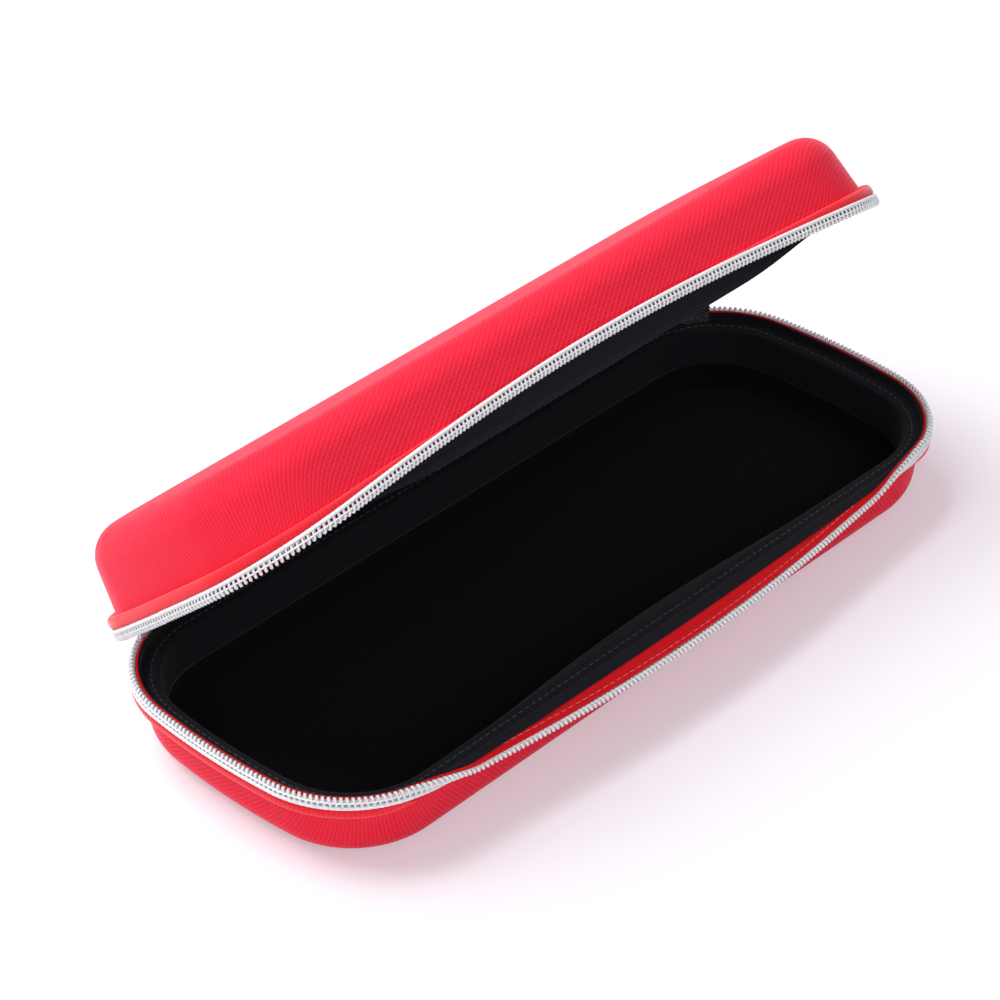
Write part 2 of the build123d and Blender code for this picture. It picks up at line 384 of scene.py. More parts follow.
def strip_profile(start, end, thickness, steps):
    """A flat strip's closed profile, as w and t: from start to end and back, with half-round edges."""
    radius = thickness / 2
    round_steps = 4
    line = np.linspace(start + radius, end - radius, steps)
    turn = np.linspace(pi / 2, -pi / 2, round_steps + 2)[1:-1]
    bulge, rise = radius * np.cos(turn), radius * np.sin(turn)
    w = np.concatenate([line, end - radius + bulge, line[::-1], start + radius - bulge])
    t = np.concatenate([np.full(steps, radius), rise, np.full(steps, -radius), -rise])
    return w, t


def finish(piece, material, body, slot, *nodes):
    """Gives a piece its material and body, and hides the nodes that it stands for. Its slot is not used."""
    piece.data.materials.append(material)
    if body:
        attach(piece, body)
    if nodes:
        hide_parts(*nodes)
    return piece


# ---------------------------------------------------------------- the halves' own lines


def depth_of(half):
    return hinge_line[2] if half == "base" else sizes().lid_depth


def coil_ends(half):
    """Where along the rim a half's coil starts and ends."""
    z = zip_sizes()
    right = z.base_right_end if half == "base" else z.lid_right_end
    return corner_distance(-1, z.left_end), corner_distance(1, right)


def tray_surface(half, inset, rows, crown=0.0):
    """One face of a tray, as plan x and y and height, for rows points round the rim.

    The wall falls with draft from the wall's top, turns through the shoulder's arc and runs on as the floor,
    which closes on a line along its middle. The crown swells the floor outward by a cosine of its run.
    """
    s = sizes()
    wall_steps, shoulder_steps, floor_steps = 8, 14, 16
    depth = depth_of(half)
    radius = s.shoulder_radius - inset
    floor = depth - inset
    centre = inset + (floor - radius - s.wall_top) * tan(s.draft) + radius / cos(s.draft)
    turn = np.linspace(s.draft, pi / 2, shoulder_steps + 1)
    wall_end = centre - radius * cos(s.draft)
    wall_bottom = floor - radius + radius * sin(s.draft)
    share = np.linspace(0, 1, wall_steps, endpoint=False)
    profile_in = np.concatenate([inset + (wall_end - inset) * share, centre - radius * np.cos(turn)])
    profile_down = np.concatenate([
        s.wall_top + (wall_bottom - s.wall_top) * share, floor - radius + radius * np.sin(turn),
    ])
    point, normal, _ = rim_at(round_rim(rows))
    plan = point[:, None] - normal[:, None] * profile_in[None, :, None]
    edge = plan[:, -1]
    spine_half = cover_high.x - cover_high.y
    spine = np.stack([np.clip(edge[:, 0], -spine_half, spine_half), np.zeros(rows)], -1)
    run = np.linspace(0, 1, floor_steps + 1)[1:]
    floor_plan = edge[:, None] + (spine - edge)[:, None] * run[None, :, None]
    plan = np.concatenate([plan, floor_plan], 1)
    down = np.concatenate([profile_down, floor + crown * np.sin(run * pi / 2) ** 2])
    height = -np.broadcast_to(down, plan.shape[:2])
    return plan[..., 0], plan[..., 1], height, unroll(half, plan, height, normal)


def unroll(half, plan, height, normal):
    """Where each point of the tray lay in the flat cloth: its plan, moved out by its height's slack.

    The plan is then turned by the angle at which the cloth was laid over the mould.
    """
    step = np.diff(plan, axis=1)
    flat = np.hypot(step[..., 0], step[..., 1])
    slope = np.hypot(flat, np.diff(height, axis=1))
    extra = np.cumsum((slope - flat)[:, ::-1], 1)[:, ::-1]
    extra = np.concatenate([extra, np.zeros((len(extra), 1))], 1)
    flat_cloth = plan + normal[:, None] * extra[..., None]
    turned = getattr(zip_sizes(), f"{half}_cloth_turn")
    along = flat_cloth[..., 0] * cos(turned) + flat_cloth[..., 1] * sin(turned)
    across = flat_cloth[..., 1] * cos(turned) - flat_cloth[..., 0] * sin(turned)
    return np.stack([along, across], -1)


def skin(name, half, outer_inset, thickness, rows, crown=0.0):
    """A tray of cloth: its outer and inner faces, joined along the rim."""
    doubles = 0.001 * MM
    faces, uvs, points = [], [], []
    for inset in (outer_inset, outer_inset + thickness):
        x, y, height, cloth = tray_surface(half, inset, rows, crown)
        columns = x.shape[1]
        own, _ = grid_faces(rows, columns, True, False)
        faces.append(own + len(points) * rows * columns)
        uvs.append(cloth.reshape(-1, 2))
        points.append(place(half, x, y, height).reshape(-1, 3))
    first = np.arange(rows) * columns
    second = first + rows * columns
    faces.append(np.stack([first, np.roll(first, -1), np.roll(second, -1), second], -1))
    faces, uvs = np.concatenate(faces), np.concatenate(uvs)
    piece = make_mesh(name, np.concatenate(points), faces, uvs[faces.ravel()])
    return close_up(piece, merge=doubles)


def rounded(turn):
    """A circle's cosine and sine of a turn, both raised to a power, which makes it a superellipse."""
    power = 0.85
    return [np.sign(wave) * np.abs(wave) ** power for wave in (np.cos(turn), np.sin(turn))]


def flange_profile(half, distance):
    """The flange's rounded section: a superellipse from the wall out.

    It thins to nothing where it is tucked: under the base's rolled tape, and behind the lid's zip where that
    is drawn up. It lies lower where the slider passes.
    """
    s = sizes()
    steps = 36
    overlap, tucked_overlap, least_height, slider_room = 0.25 * MM, 0.2 * MM, 0.15 * MM, 0.7 * MM
    turn = np.linspace(0, 2 * pi, steps, endpoint=False)[None]
    if half == "base":
        tucks_in, comes_out = (-120 * MM, -98 * MM), (96 * MM, 114 * MM)
        pressed = 0.25
        tuck = along_front(distance, tucks_in, comes_out)[:, None]
        tall = s.flange_height * (1 - pressed * tuck)
        sunk = 0
    else:
        hidden_from, follows = 6.7 * MM, 0.47
        drawn = zip_rise(half, distance)[:, None]
        free = np.clip(1 - drawn / hidden_from, 0, 1)
        tuck = 1 - np.sqrt(free)
        tall = s.flange_height * free + least_height
        sunk = follows * drawn
    tall = tall - slider_room * slider_run(distance)[:, None]
    inside = overlap + tucked_overlap * tuck
    reach = s.flange_width * (1 - tuck) + overlap
    across, upward = rounded(turn)
    out = reach / 2 * (across + 1) - inside
    up = tall / 2 * (upward + 1)
    return out - sunk * tan(s.draft), up - s.flange_foot - sunk


def tape_shape(half, distance):
    """How far the tape is turned outward, and how far its free width reaches, at each distance."""
    z = zip_sizes()
    least_turn, below_plane = 1e-5, 0.5 * MM
    upright = sizes().rim_top - below_plane
    if half == "lid":
        return np.full_like(distance, least_turn), np.full_like(distance, upright)
    rolls_over, stands_up = (-109 * MM, -86 * MM), (80 * MM, 106 * MM)
    lean_ease, right_end_from = 20 * MM, 110 * MM
    rolled = along_front(distance, rolls_over, stands_up)
    right_end = rim_at(distance)[0][..., 0] > right_end_from
    from_coil = distance - corner_distance(-1, z.left_end)
    leaning = np.where(right_end, 0, 1) * smooth(0, lean_ease, from_coil)
    lean = -z.lean * leaning + least_turn
    return lean + (z.rolled_turn - lean) * rolled, upright + z.rolled_reach * front_arch(distance)


def from_seam(half, distance, w, t):
    """Points w up the tape from the rim's seam and t off its middle, on the side of the coil.

    The tape leaves the rim upright, bends through its turn over a short arc and runs on straight.
    """
    s = sizes()
    bend = 2.0 * MM
    turn, _ = tape_shape(half, distance)
    share = np.clip(w / bend, 0, 1)
    here = turn * share
    beyond = np.maximum(w - bend, 0)
    out = bend * (1 - np.cos(here)) / turn + beyond * np.sin(turn)
    up = bend * np.sin(here) / turn + beyond * np.cos(turn) + np.minimum(w, 0)
    out = out + t * np.cos(here) + s.tape_offset
    up = up - t * np.sin(here) - s.rim_top
    return out, up


def on_tape(half, distance, w, t):
    """The same points with the lid's tape drawn up its wall."""
    out, up = from_seam(half, distance, w, t)
    drawn = zip_rise(half, distance)
    return out - drawn * tan(sizes().draft) / 2, up - drawn


def bound_width(half, distance):
    """How far up the tape's inner face the black binding reaches: least at the hinge and the lid's arch."""
    least, usual, wider = 0.4 * MM, 2.5 * MM, 1.5 * MM
    hinge_ease, dies_from, dies_to = 5 * MM, 0.4 * MM, 3 * MM
    from_hinge = np.minimum(distance, rim_length() - distance) - sizes().hinge_half
    shown = smooth(0, hinge_ease, from_hinge) * (1 - smooth(dies_from, dies_to, zip_rise(half, distance)))
    arch = front_arch(distance) * (half == "base")
    return least + (usual + wider * arch) * shown


# ---------------------------------------------------------------- materials

# Real fibres, pile, foam cells and polishing marks are too fine for the render, so their patterns are drawn
# coarser, with grains of a third of a millimetre to one and a half.


def node(tree, kind, links=None, values=None, **settings):
    """Adds a shader node, sets its properties and input values, and links its inputs.

    Its kind is written without the word ShaderNode. A link starts at a socket, or at a node's first output.
    """
    new = tree.nodes.new("ShaderNode" + kind)
    for name, value in settings.items():
        setattr(new, name, value)
    for name, value in (values or {}).items():
        new.inputs[name].default_value = value
    for name, source in (links or {}).items():
        start = source.outputs[0] if isinstance(source, bpy.types.Node) else source
        tree.links.new(start, new.inputs[name])
    return new


def blank(name):
    """A new material with its shader, and its tree."""
    material = bpy.data.materials.new(name)
    material.use_nodes = True
    return material, material.node_tree, material.node_tree.nodes["Principled BSDF"]


def waves(tree, source, axis, pitch):
    """A sine of the cloth's own coordinate along one axis, from 0 to 1, with one crest for each pitch."""
    split = node(tree, "SeparateXYZ", {"Vector": source})
    scaled = node(tree, "Math", {0: split.outputs[axis]}, {1: 2 * pi / pitch}, operation="MULTIPLY")
    wave = node(tree, "Math", {0: scaled}, operation="SINE")
    return node(tree, "Math", {0: wave}, {1: 0.5, 2: 0.5}, operation="MULTIPLY_ADD")


def grain(tree, size, detail, roughness=0.5):
    """A noise on the piece's own coordinates, with grains of a given size."""
    own_place = node(tree, "TexCoord").outputs["Object"]
    values = {"Scale": 1 / size, "Detail": detail, "Roughness": roughness}
    return node(tree, "TexNoise", {"Vector": own_place}, values)


def shades(base, *shares):
    """A colour made darker or lighter by each share."""
    return [tuple(min(channel * share, 1) for channel in base[:3]) + (1.0,) for share in shares]


def tint(tree, shader, pattern, dark, light, values):
    """Runs a shader's base colour from dark to light by a pattern, and sets its other inputs."""
    mix = node(tree, "Mix", {"Factor": pattern}, {"A": dark, "B": light}, data_type="RGBA")
    tree.links.new(mix.outputs["Result"], shader.inputs["Base Color"])
    for name, value in values.items():
        shader.inputs[name].default_value = value


def emboss(tree, shader, height, strength, depth):
    """Raises a shader's surface by a height pattern."""
    bump = node(tree, "Bump", {"Height": height}, {"Strength": strength, "Distance": depth})
    tree.links.new(bump.outputs[0], shader.inputs["Normal"])


def cover_cloth():
    """Ribbed polyester cloth, knitted and laminated to foam.

    Its slanting ribs wander a little, a fainter set crosses them, and it has a soft pink sheen. Its red
    is painted darker in the rib hollows as painted shade, and lighter on the rib tops as painted highlight.
    """
    material, tree, shader = blank("ribbed_polyester_cloth")
    c, rib_pitch = colours(), zip_sizes().rib_pitch
    bend_size, bend_reach, fibre_size = 55.6 * MM, 4 * MM, 0.909 * MM
    crossing_turn, crossing_pitch = radians(39), rib_pitch * 0.94
    crossing_share, fibre_share, highest = 0.35, 0.9, 1.6
    cloth = node(tree, "UVMap", uv_map="cloth")
    bend = node(tree, "TexNoise", {"Vector": cloth}, {"Scale": 1 / bend_size, "Detail": 1.0})
    drift = node(
        tree, "VectorMath", {0: bend.outputs["Color"]}, {1: (bend_reach, bend_reach, 0)}, operation="MULTIPLY"
    )
    wandering = node(tree, "VectorMath", {0: cloth, 1: drift}, operation="ADD")
    ribs = waves(tree, wandering, "Y", rib_pitch)
    slant = node(
        tree, "VectorRotate", {"Vector": wandering}, {"Angle": crossing_turn}, rotation_type="Z_AXIS"
    )
    crossing = waves(tree, slant, "Y", crossing_pitch)
    weave = node(tree, "Math", {0: crossing, 2: ribs}, {1: crossing_share}, operation="MULTIPLY_ADD")
    fibres = {"Scale": 1 / fibre_size, "Detail": 3.0, "Roughness": 0.7}
    fuzz = node(tree, "TexNoise", {"Vector": cloth}, fibres)
    height = node(tree, "Math", {0: fuzz, 2: weave}, {1: fibre_share}, operation="MULTIPLY_ADD")
    # Painted shade and highlight: the colour runs from the darker red in the rib hollows to the lighter red
    # on the rib tops, with the fuzz's random tone.
    painted_shading_and_fuzz = node(tree, "MapRange", {"Value": height}, {"From Min": 0.0, "From Max": highest})
    tint(tree, shader, painted_shading_and_fuzz, c.cover, c.cover_rib_highlight, {
        "Roughness": 0.8, "Specular IOR Level": 0.12,
        "Sheen Weight": 0.65, "Sheen Roughness": 0.32, "Sheen Tint": linear("#FF9DB0"),
    })
    emboss(tree, shader, height, strength=0.5, depth=0.14 * MM)
    return material


def woven(name, base, pitch, roughness, sheen, depth, crown):
    """A woven tape or cloth: crossing threads at one pitch, bumped to a depth. Its colour is painted
    darker in the hollows between threads as painted shade, and lighter by crown on their tops as painted
    highlight.
    """
    material, tree, shader = blank(name)
    # The hollow share darkens the colour between the threads, as painted shade.
    across_pitch, fibre_size, hollow_shade = pitch * 1.6, 0.714 * MM, 0.78
    across_share, fibre_share, painted_shading_share = 0.5, 0.6, 0.45
    cloth = node(tree, "UVMap", uv_map="cloth")
    along = waves(tree, cloth, "X", pitch)
    across = waves(tree, cloth, "Y", across_pitch)
    weave = node(tree, "Math", {0: across, 2: along}, {1: across_share}, operation="MULTIPLY_ADD")
    fuzz = node(tree, "TexNoise", {"Vector": cloth}, {"Scale": 1 / fibre_size, "Detail": 2.0})
    height = node(tree, "Math", {0: fuzz, 2: weave}, {1: fibre_share}, operation="MULTIPLY_ADD")
    painted_shading_and_fuzz = node(tree, "Math", {0: height}, {1: painted_shading_share}, operation="MULTIPLY")
    # Painted shade and highlight: the threads' hollows are darker, and their tops are lighter by crown.
    tint(tree, shader, painted_shading_and_fuzz, *shades(base, hollow_shade, crown), {
        "Roughness": roughness, "Specular IOR Level": 0.12, "Sheen Weight": sheen, "Sheen Roughness": 0.4,
    })
    emboss(tree, shader, height, strength=0.6, depth=depth)
    return material


def flange_cloth():
    """The cover's polyester folded over and pressed: smoother than the cover, and a brighter red."""
    return woven(
        "folded_polyester_edge", colours().flange, pitch=1.3 * MM, roughness=0.8, sheen=0.4,
        depth=0.05 * MM, crown=1.08,
    )


def binding_cloth():
    """Black nylon binding, woven: matt, with threads that catch a little light."""
    return woven(
        "woven_nylon_binding", colours().binding, pitch=0.7 * MM, roughness=0.85, sheen=0.05,
        depth=0.05 * MM, crown=1.3,
    )


def tape_cloth():
    """Zip tape of woven polyester: flat and firm, with hardly any sheen."""
    return woven(
        "woven_polyester_tape", colours().tape, pitch=0.8 * MM, roughness=0.75, sheen=0.12,
        depth=0.08 * MM, crown=1.25,
    )


def hinge_cloth():
    """The hinge's strip of woven polyester: red and a little darker than the cover."""
    base, = shades(colours().cover, 0.9)
    return woven(
        "woven_polyester_hinge", base, pitch=0.9 * MM, roughness=0.78, sheen=0.4, depth=0.12 * MM, crown=1.3
    )


def lining_cloth():
    """Brushed nylon lining, black: a short pile that swallows light, with a faint grain."""
    material, tree, shader = blank("brushed_nylon_lining")
    pile = grain(tree, size=0.625 * MM, detail=3.0, roughness=0.7)
    tint(tree, shader, pile, *shades(colours().lining, 0.6, 1.6), {
        "Roughness": 0.95, "Specular IOR Level": 0.1, "Sheen Weight": 0.04,
    })
    emboss(tree, shader, pile, strength=0.2, depth=0.05 * MM)
    return material


def foam_sheet():
    """EVA foam, closed-cell and moulded: a faint pebble of cut cells on its edges."""
    material, tree, shader = blank("moulded_eva_foam")
    cell_size = 0.4 * MM
    own_place = node(tree, "TexCoord").outputs["Object"]
    cells = node(tree, "TexVoronoi", {"Vector": own_place}, {"Scale": 1 / cell_size})
    pebble = cells.outputs["Distance"]
    tint(tree, shader, pebble, *shades(colours().foam, 0.7, 1.3), {"Roughness": 0.85})
    emboss(tree, shader, pebble, strength=0.4, depth=0.1 * MM)
    return material


def coil_filament():
    """Polyester monofilament with a silver coat: pale and satin, changing tone a little along the row."""
    material, tree, shader = blank("silver_polyester_filament")
    patches = grain(tree, size=1.43 * MM, detail=2.0)
    tint(tree, shader, patches, *shades(colours().coil, 0.8, 1.06), {
        "Metallic": 0.15, "Roughness": 0.34, "Coat Weight": 0.2,
    })
    return material


def plated_metal(name, roughness):
    """Zinc die casting or pressed aluminium, nickel plated: bright, with polishing haze."""
    material, tree, shader = blank(name)
    haze = grain(tree, size=1.11 * MM, detail=4.0, roughness=0.7)
    spread, middle = 0.2, 0.4
    least = roughness - middle * spread
    rough = node(tree, "Math", {0: haze}, {1: spread, 2: least}, operation="MULTIPLY_ADD")
    tree.links.new(rough.outputs[0], shader.inputs["Roughness"])
    emboss(tree, shader, haze, strength=0.15, depth=0.03 * MM)
    shader.inputs["Base Color"].default_value = colours().metal
    shader.inputs["Metallic"].default_value = 1.0
    return material


def sewing_thread(name, base):
    """Twisted polyester sewing thread: a soft satin, its colour painted lighter and darker in small grains as
    painted highlight and shade on the twist.
    """
    material, tree, shader = blank(name)
    twist_shading = grain(tree, size=0.333 * MM, detail=1.0)
    # Painted highlight and shade: the thread's colour runs lighter and darker by the grain.
    tint(tree, shader, twist_shading, *shades(base, 0.8, 1.2), {"Roughness": 0.6})
    return material


def seen_directly(tree):
    """1 for rays from the camera and for those that mirrors and clear pieces send on, and 0 for the rest."""
    path = node(tree, "LightPath").outputs
    seen = node(tree, "Math", {0: path["Is Camera Ray"], 1: path["Is Glossy Ray"]}, operation="MAXIMUM")
    return node(tree, "Math", {0: seen, 1: path["Is Transmission Ray"]}, operation="MAXIMUM")


def floor_surface():
    """A matt pale studio floor. Seen directly it is a little brighter, so that its lit parts are white."""
    material, tree, shader = blank("matt_studio_floor")
    patches = grain(tree, size=333 * MM, detail=2.0)
    tint(tree, shader, patches, *shades(colours().floor, 0.995, 1.0), {
        "Roughness": 0.9, "Specular IOR Level": 0.0,
    })
    white = node(tree, "Emission", values={"Color": linear("#FFF3FF"), "Strength": 1.0})
    whitened = 0.38
    share = node(tree, "Math", {0: seen_directly(tree)}, {1: whitened}, operation="MULTIPLY")
    lit = node(tree, "MixShader", {0: share, 1: shader, 2: white})
    tree.links.new(lit.outputs[0], tree.nodes["Material Output"].inputs["Surface"])
    return material


# ---------------------------------------------------------------- operators


class MakeCovers(bpy.types.Operator):
    """Make the red cover cloth of both halves"""

    bl_idname = "case.make_covers"
    bl_label = "Covers"

    def execute(self, context):
        s = sizes()
        cloth = cover_cloth()
        rows = 420
        for half in HALVES:
            crown = 0 if half == "base" else s.lid_crown
            piece = skin(f"{half}_cover_cloth", half, 0, s.cover_thickness, rows, crown)
            finish(piece, cloth, half, "cover_fabric", f"{half}_cover")
        return {"FINISHED"}


class MakeLinings(bpy.types.Operator):
    """Make the black lining of both halves"""

    bl_idname = "case.make_linings"
    bl_label = "Linings"

    def execute(self, context):
        s = sizes()
        cloth = lining_cloth()
        rows = 300
        for half in HALVES:
            piece = skin(f"{half}_lining_cloth", half, s.lining_inset, s.lining_thickness, rows)
            finish(piece, cloth, half, "lining_fabric", f"{half}_lining")
        return {"FINISHED"}


class MakeFlanges(bpy.types.Operator):
    """Make the folded flange round both rims"""

    bl_idname = "case.make_flanges"
    bl_label = "Flanges"

    def execute(self, context):
        cloth = flange_cloth()
        distance = round_rim(900)
        for half in HALVES:
            out, height = flange_profile(half, distance)
            piece = swept(f"{half}_flange_cloth", half, distance, out, height, True)
            finish(piece, cloth, half, "flange_fabric", f"{half}_rim_flange")
        return {"FINISHED"}


class MakeBindings(bpy.types.Operator):
    """Make the black binding over both rims, and the lid's black edge below its drawn-up zip"""

    bl_idname = "case.make_bindings"
    bl_label = "Bindings"

    def profile(self, half, distance):
        """The binding's closed section: along the tape's inner face, over the rim and down inside the wall.

        Where the tape is rolled outward, the leg inside swings in and shows its face. Where the slider
        passes, the leg on the tape is thin and the crest lies lower.
        """
        s = sizes()
        thick, slider_thins, slider_lowers = 0.6 * MM, 0.47 * MM, 0.27 * MM
        fold_from, fold_radius = 4.6 * MM, 1.0 * MM
        swing_in, swing_up, swing_turn = 7.5 * MM, 2.0 * MM, 0.75 * pi
        swings = {"base": 1.0, "lid": 0.55}
        leg_points, fold_steps, foot_height = 9, 5, 0.35 * MM
        swing = front_arch(distance)[:, None] * swings[half]
        passed = slider_run(distance)[:, None]

        foot = foot_height * (1 - passed)
        w = foot + (bound_width(half, distance)[:, None] - foot) * np.linspace(1, 0, leg_points)
        thin = thick - slider_thins * passed
        tape_out, tape_height = from_seam(half, distance[:, None], w, -s.tape_thickness / 2 - thin)

        crest_in = np.array([1.0 * MM, 3.0 * MM, fold_from])
        crest_down = s.rim_top - np.array([0.3, 0.25, 0.0]) * MM
        turn = np.linspace(0, pi / 2, fold_steps + 1)[1:]
        fold_in = fold_from + fold_radius * np.sin(turn)
        fold_down = s.rim_top + fold_radius * (1 - np.cos(turn))
        leg = np.linspace(0, 1, leg_points)[1:]
        leg_in = np.full(leg.shape, s.lining_inset + s.lining_thickness + thick)
        leg_down = s.rim_top + fold_radius + (s.binding_depth - fold_radius) * leg
        path_in = np.concatenate([crest_in, fold_in, leg_in])
        path_down = np.concatenate([crest_down, fold_down, leg_down])

        depth = np.clip((path_down - s.rim_top) / s.binding_depth, 0, 1)
        draft = np.maximum(path_down - s.wall_top, 0) * tan(s.draft)
        path_in = path_in + draft + swing * swing_in * np.sin(depth * swing_turn)
        path_down = path_down - swing * swing_up * depth
        path_down[:, :2] += slider_lowers * passed

        path_in = np.concatenate([-tape_out, path_in], 1)
        path_down = np.concatenate([-tape_height, path_down], 1)
        along = np.stack([np.gradient(path_in, axis=1), np.gradient(path_down, axis=1)], -1)
        along = along / np.linalg.norm(along, axis=-1, keepdims=True)
        thickness = np.where(np.arange(path_in.shape[1]) < leg_points, thin, thick)
        back_in = path_in - along[..., 1] * thickness
        back_down = path_down + along[..., 0] * thickness
        ring_in = np.concatenate([path_in, back_in[:, ::-1]], 1)
        ring_down = np.concatenate([path_down, back_down[:, ::-1]], 1)
        return -ring_in, -ring_down

    def front_edge(self):
        """The lid's black edge, shown below its zip where that is drawn up: a strip standing on the rim.

        Its lower side comes nearer to the closing plane as the zip rises, and its upper side follows the zip.
        """
        s = sizes()
        shown_from, full_from, thickness = 2.4 * MM, 6 * MM, 0.8 * MM
        first_low, comes_nearer = 4.5 * MM, 2.7 * MM
        under_zip, least_high, sunk = 1.5 * MM, 4.9 * MM, 0.1 * MM
        distance = np.linspace(0, rim_length(), 2400)
        distance = distance[zip_rise("lid", distance) > shown_from]
        drawn = zip_rise("lid", distance)[:, None]
        share, t = strip_profile(0, 1, thickness, 24)
        low = first_low - comes_nearer * smooth(shown_from, full_from, drawn)
        high = np.maximum(under_zip + drawn, least_high)
        down = low + (high - low) * share
        out = t - sunk - np.maximum(down - s.wall_top, 0) * tan(s.draft)
        return swept("lid_binding_edge", "lid", distance, out, -down, False)

    def execute(self, context):
        cloth = binding_cloth()
        finish(self.front_edge(), cloth, "lid", "binding_fabric")
        distance = round_rim(600)
        for half in HALVES:
            out, height = self.profile(half, distance)
            piece = swept(f"{half}_binding_cloth", half, distance, out, height, True)
            finish(piece, cloth, half, "binding_fabric", f"{half}_rim_binding")
        return {"FINISHED"}


class MakeTapes(bpy.types.Operator):
    """Make the zip tape of both halves"""

    bl_idname = "case.make_tapes"
    bl_label = "Zip tapes"

    def profile(self, half, distance):
        """The tape's closed section: from its seam in the rim to its edge beside the coil.

        Along the base's front a groove runs beside the coil. The lid's seam is drawn up with its zip.
        """
        s = sizes()
        ease, seam_lift, seam_lifts_by = 2 * MM, 0.3 * MM, 0.4
        behind_coil, drawn_gain, arch_short = 0.9 * MM, 0.4 * MM, 1.2 * MM
        groove_from_edge, groove_half, groove_depth = 4.7 * MM, 0.55 * MM, 0.4 * MM
        first, last = coil_ends(half)
        coiled = smooth(first - ease, first, distance) * (1 - smooth(last, last + ease, distance))
        coiled = np.maximum(coiled, slider_run(distance))
        _, reach = tape_shape(half, distance)
        arch = front_arch(distance) * (half == "base")
        drawn = zip_rise(half, distance) / zip_sizes().drawn_up
        short = (behind_coil - drawn_gain * drawn) * coiled + arch_short * arch
        seam = s.tape_seam - (s.tape_seam + seam_lift) * smooth(0, seam_lifts_by, drawn)
        share, t = strip_profile(0, 1, s.tape_thickness, 40)
        w = share * (reach - short + seam)[:, None] - seam[:, None]
        from_groove = (w - reach[:, None] + groove_from_edge) / groove_half
        t = t + groove_depth * np.exp(-from_groove**2) * arch[:, None]
        return on_tape(half, distance[:, None], w, t)

    def execute(self, context):
        s = sizes()
        cloth = tape_cloth()
        distance = np.linspace(s.hinge_half, rim_length() - s.hinge_half, 700)
        for half in HALVES:
            out, height = self.profile(half, distance)
            piece = swept(f"{half}_zip_tape_cloth", half, distance, out, height, False)
            finish(piece, cloth, half, "tape_fabric", f"{half}_zip_tape")
        return {"FINISHED"}


class MakeCoils(bpy.types.Operator):
    """Make the zip's coil on both halves"""

    bl_idname = "case.make_coils"
    bl_label = "Zip coils"

    def turns(self, half, start, count, pitch):
        """A flattened helix: w swings by a cosine between root and tip, t by a sine off the tape.

        The filament swells towards the tip, where each turn is flattened to a tooth.
        """
        z, s = zip_sizes(), sizes()
        steps, sides, swelling = 12, 6, 0.3
        radius = z.wire / 2
        phase = np.arange(count * steps + 1) / steps * 2 * pi
        distance = start + phase / (2 * pi) * pitch
        _, reach = tape_shape(half, distance)
        w = reach - z.coil_height / 2 + (z.coil_height / 2 - radius) * np.cos(phase)
        t = s.tape_thickness / 2 + z.coil_thickness / 2 + (z.coil_thickness / 2 - radius) * np.sin(phase)
        line = on_rim(half, distance, *on_tape(half, distance, w, t))
        ahead = np.gradient(line, axis=0)
        ahead /= np.linalg.norm(ahead, axis=1, keepdims=True)
        _, _, tangent = rim_at(distance)
        level = np.zeros_like(distance)
        rim_way = place(half, tangent[:, 0], tangent[:, 1], level) - place(half, level, level, level)
        first = np.cross(ahead, rim_way)
        first /= np.linalg.norm(first, axis=1, keepdims=True)
        second = np.cross(ahead, first)
        around = np.linspace(0, 2 * pi, sides, endpoint=False)[None, :, None]
        swell = radius * (1 + swelling * np.clip(np.cos(phase), 0, 1) ** 3)
        ring = first[:, None] * np.cos(around) + second[:, None] * np.sin(around)
        points = line[:, None] + ring * swell[:, None, None]
        faces, _ = grid_faces(len(line), sides, False, True)
        return points.reshape(-1, 3), faces

    def cord(self, half, distance, pitch, from_tip, tall, ripple):
        """A cord sewn along the coil: an ellipse carried along it, its size rippling with each stitch."""
        sides, thick = 10, 2.2 * MM
        off = (sizes().tape_thickness + thick) / 2
        _, reach = tape_shape(half, distance)
        turn = np.linspace(0, 2 * pi, sides, endpoint=False)[None]
        swell = (1 + ripple * np.cos(2 * pi * distance / pitch))[:, None]
        w = (reach - from_tip)[:, None] + tall / 2 * np.cos(turn) * swell
        t = off + thick / 2 * np.sin(turn) * swell
        points = on_rim(half, distance[:, None], *on_tape(half, distance[:, None], w, t))
        faces, _ = grid_faces(len(distance), sides, False, True)
        return points.reshape(-1, 3), faces

    def execute(self, context):
        z = zip_sizes()
        filament = coil_filament()
        cord_steps = 4
        for half in HALVES:
            start, end = coil_ends(half)
            count = int((end - start) / z.pitch)
            pitch = (end - start) / count
            distance = start + np.arange(count * cord_steps + 1) / cord_steps * pitch
            parts = [
                self.turns(half, start, count, pitch),
                self.cord(half, distance, pitch, from_tip=3.1 * MM, tall=1.25 * MM, ripple=0.04),
                self.cord(half, distance, pitch, from_tip=1.5 * MM, tall=0.55 * MM, ripple=0.1),
            ]
            offsets = np.cumsum([0] + [len(points) for points, _ in parts[:-1]])
            points = np.concatenate([points for points, _ in parts])
            faces = np.concatenate([faces + offset for (_, faces), offset in zip(parts, offsets)])
            piece = close_up(make_mesh(f"{half}_zip_coil", points, faces))
            finish(piece, filament, half, "zip_coil", f"{half}_zip_teeth")
        return {"FINISHED"}


